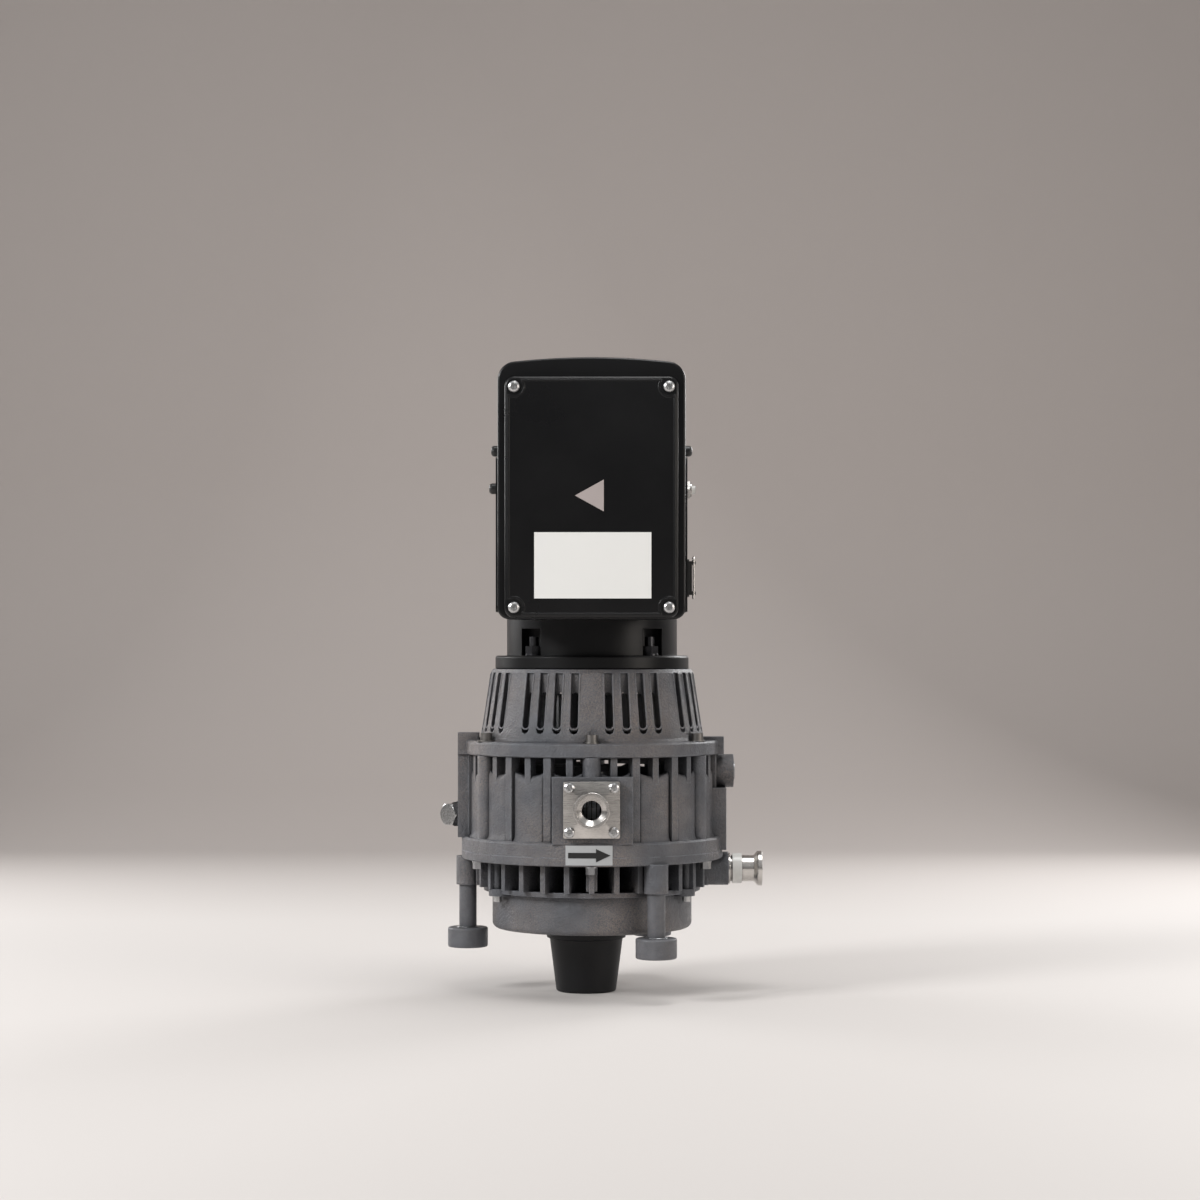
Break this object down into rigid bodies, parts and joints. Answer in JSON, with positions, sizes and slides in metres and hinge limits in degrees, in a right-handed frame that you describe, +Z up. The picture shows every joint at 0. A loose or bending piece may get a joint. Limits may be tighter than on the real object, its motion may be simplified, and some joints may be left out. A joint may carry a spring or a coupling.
{
  "type": "scroll vacuum pump",
  "caption": "Upright dry scroll vacuum pump with a ribbed grey casing, slotted fan bell, black motor and flat control box, small clamp-flange ports and three short feet.",
  "frame": {"origin": "on the pump's axis, on the plane that the stand's foot rests on", "axes": "+Z up along the shaft, -Y out of the inlet and the control box's cover, +X out of the exhaust"},
  "size_m": [0.2785, 0.251, 0.5345],
  "materials": {
    "black_paint": "satin black paint",
    "grey_cast": "grey paint on cast aluminium, fine texture",
    "grey_leg": "grey paint, smooth",
    "machined_aluminium": "machined",
    "bearing_steel": "ground steel",
    "steel_screws": "zinc plated",
    "cast_weight": "raw cast iron",
    "polished_steel": "polished stainless steel",
    "turned_steel": "turned steel",
    "white_collar": "glossy",
    "black_rubber": "matt",
    "seal_strip": "filled fluoropolymer",
    "fan_plastic": "moulded",
    "black_plastic": "moulded",
    "nickel_brass": "nickel plated",
    "core_steel": "laminated electrical steel",
    "copper_wire": "enamelled copper wire",
    "circuit_board": "glass-fibre board",
    "capacitor_can": "sleeved can",
    "white_label": "printed film, blank",
    "grey_label": "printed film",
    "black_print": "print"
  },
  "bodies": {
    "pump_frame": {"pedestal": "black_paint", "foot_pads": "grey_cast", "legs": "grey_leg", "fin_cover": "grey_cast", "fin_cover_screws": "steel_screws", "fixed_scroll": "grey_cast", "fixed_tip_seal": "seal_strip", "joint_seal": "black_rubber", "flange_bolts": "steel_screws", "housing_idler_bearings": "bearing_steel", "main_housing": "grey_cast", "ring_bolts": "steel_screws", "lower_main_bearing": "bearing_steel", "shaft_seal": "black_rubber", "fan_housing": "grey_cast", "inlet_flange": "polished_steel", "inlet_seal": "black_rubber", "inlet_screen": "polished_steel", "inlet_screws": "steel_screws", "exhaust_fitting": "polished_steel", "exhaust_collar": "white_collar", "ballast_plug": "turned_steel", "ballast_collar": "black_rubber", "side_plug": "steel_screws", "side_sticker": "white_label", "arrow_sticker": "grey_label", "flow_arrow": "black_print", "motor_flange": "black_paint", "motor_stud_nuts": "steel_screws", "motor_frame": "black_paint", "motor_end_cap": "black_paint", "stator_core": "core_steel", "stator_windings": "copper_wire", "upper_main_bearing": "bearing_steel", "control_box": "black_paint", "box_cover": "black_paint", "box_cover_seal": "black_rubber", "box_cover_screws": "steel_screws", "drive_board": "circuit_board", "run_capacitor": "capacitor_can", "side_plates": "black_paint", "side_knobs": "black_plastic", "rating_plate": "white_label", "front_plate": "grey_label", "power_inlet": "black_plastic", "breaker_body": "nickel_brass"},
    "rotor": {"main_shaft": "bearing_steel", "counterweight": "cast_weight", "cooling_fan": "fan_plastic", "motor_rotor": "core_steel"},
    "orbiter": {"orbiting_scroll": "machined_aluminium", "orbiting_tip_seal": "seal_strip", "crank_bearing": "bearing_steel", "orbit_idler_bearings": "bearing_steel"},
    "idler_1": {"idler_crank_1": "bearing_steel"},
    "idler_2": {"idler_crank_2": "bearing_steel"},
    "idler_3": {"idler_crank_3": "bearing_steel"},
    "bail": {"power_bail": "polished_steel"},
    "button": {"reset_button": "white_collar"}
  },
  "joints": [
    {"name": "shaft_spin", "type": "hinge", "parent": "pump_frame", "child": "rotor", "pos_m": [0, 0, 0.217], "axis": [0, 0, 1], "continuous": true},
    {"name": "scroll_orbit", "type": "hinge", "parent": "rotor", "child": "orbiter", "pos_m": [0.0026, 0, 0.1727], "axis": [0, 0, 1], "continuous": true},
    {"name": "idler_1_spin", "type": "hinge", "parent": "pump_frame", "child": "idler_1", "pos_m": [0, 0.084, 0.185], "axis": [0, 0, 1], "continuous": true},
    {"name": "idler_2_spin", "type": "hinge", "parent": "pump_frame", "child": "idler_2", "pos_m": [-0.07275, -0.042, 0.185], "axis": [0, 0, 1], "continuous": true},
    {"name": "idler_3_spin", "type": "hinge", "parent": "pump_frame", "child": "idler_3", "pos_m": [0.07275, -0.042, 0.185], "axis": [0, 0, 1], "continuous": true},
    {"name": "bail_swing", "type": "hinge", "parent": "pump_frame", "child": "bail", "pos_m": [0.0836, -0.1115, 0.3535], "axis": [0, 0, 1], "range_deg": [0, 150]},
    {"name": "button_press", "type": "slide", "parent": "pump_frame", "child": "button", "axis": [-1, 0, 0], "range_m": [0, 0.002], "stiffness_N_per_m": 600, "springref_m": -0.002}
  ],
  "couplings": [
    {"joint": "scroll_orbit", "follows": "shaft_spin", "ratio": -1},
    {"joint": "idler_1_spin", "follows": "shaft_spin", "ratio": 1},
    {"joint": "idler_2_spin", "follows": "shaft_spin", "ratio": 1},
    {"joint": "idler_3_spin", "follows": "shaft_spin", "ratio": 1}
  ]
}
